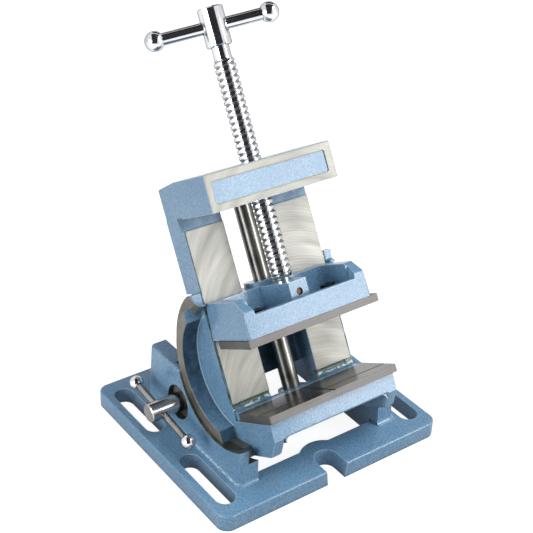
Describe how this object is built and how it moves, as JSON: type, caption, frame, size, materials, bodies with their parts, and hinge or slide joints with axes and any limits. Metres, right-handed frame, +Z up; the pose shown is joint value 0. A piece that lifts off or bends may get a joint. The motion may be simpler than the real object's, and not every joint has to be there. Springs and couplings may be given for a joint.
{
  "type": "angle vise",
  "caption": "Tilting machine vise: a slotted frame base with cradle walls carries a leaning body with two flat jaws, a tee handled lead screw and a side lock.",
  "frame": {"origin": "centre of the base's underside", "axes": "+X along the pivot axis from left to right seen from the front, +Y to the back, +Z up"},
  "size_m": [0.178, 0.1716, 0.2772],
  "materials": {
    "painted_iron": "mid blue hammered paint",
    "machined_steel": "machined",
    "chrome": "bright plated",
    "plate_steel": "ground",
    "black_steel": "blackened",
    "rod_steel": "drawn",
    "copper": "dull"
  },
  "bodies": {
    "base": {"base": "painted_iron", "lock_outer_cotter": "machined_steel"},
    "tilting": {"tilting_body": "painted_iron", "fixed_jaw_plate": "plate_steel", "fixed_plate_screws": "black_steel", "guide_rod": "rod_steel", "guide_rod_pin": "machined_steel"},
    "jaw": {"movable_jaw": "painted_iron", "movable_jaw_plate": "plate_steel", "movable_plate_screws": "black_steel", "jaw_set_screw": "copper"},
    "screw": {"lead_screw": "chrome"},
    "screw_handle": {"lead_tee_bar": "chrome", "lead_ball_left": "chrome", "lead_ball_right": "chrome"},
    "lock": {"lock_screw": "chrome"},
    "lock_handle": {"lock_tee_bar": "chrome", "lock_ball_front": "chrome", "lock_ball_rear": "chrome"},
    "cotter": {"lock_inner_cotter": "machined_steel"}
  },
  "joints": [
    {"name": "body_tilt", "type": "hinge", "parent": "base", "child": "tilting", "pos_m": [0, -0.0304, 0.0777], "axis": [-1, 0, 0], "range_deg": [-30, 60]},
    {"name": "jaw_slide", "type": "slide", "parent": "tilting", "child": "jaw", "axis": [0, 0.5, 0.866], "range_m": [-0.043, 0.0439]},
    {"name": "lead_screw_spin", "type": "hinge", "parent": "jaw", "child": "screw", "pos_m": [0, -0.04872, 0.05617], "axis": [0, 0.5, 0.866], "range_deg": [-3875, 3960]},
    {"name": "lead_tee_slide", "type": "slide", "parent": "screw", "child": "screw_handle", "axis": [0.9018, -0.3742, 0.216], "range_m": [-0.0225, 0.0254]},
    {"name": "lock_screw_spin", "type": "hinge", "parent": "base", "child": "lock", "pos_m": [-0.0772, 0.01357, 0.0312], "axis": [-1, 0, 0], "range_deg": [-18, 34]},
    {"name": "lock_tee_slide", "type": "slide", "parent": "lock", "child": "lock_handle", "axis": [0, -0.9945, -0.1045], "range_m": [-0.0241, 0.0193]},
    {"name": "inner_cotter_slide", "type": "slide", "parent": "base", "child": "cotter", "axis": [1, 0, 0], "range_m": [-0.00011, 0.0002]}
  ],
  "couplings": [
    {"joint": "lead_screw_spin", "follows": "jaw_slide", "rad_per_m": 1570.8},
    {"joint": "inner_cotter_slide", "follows": "lock_screw_spin", "m_per_rad": 0.00031831}
  ]
}
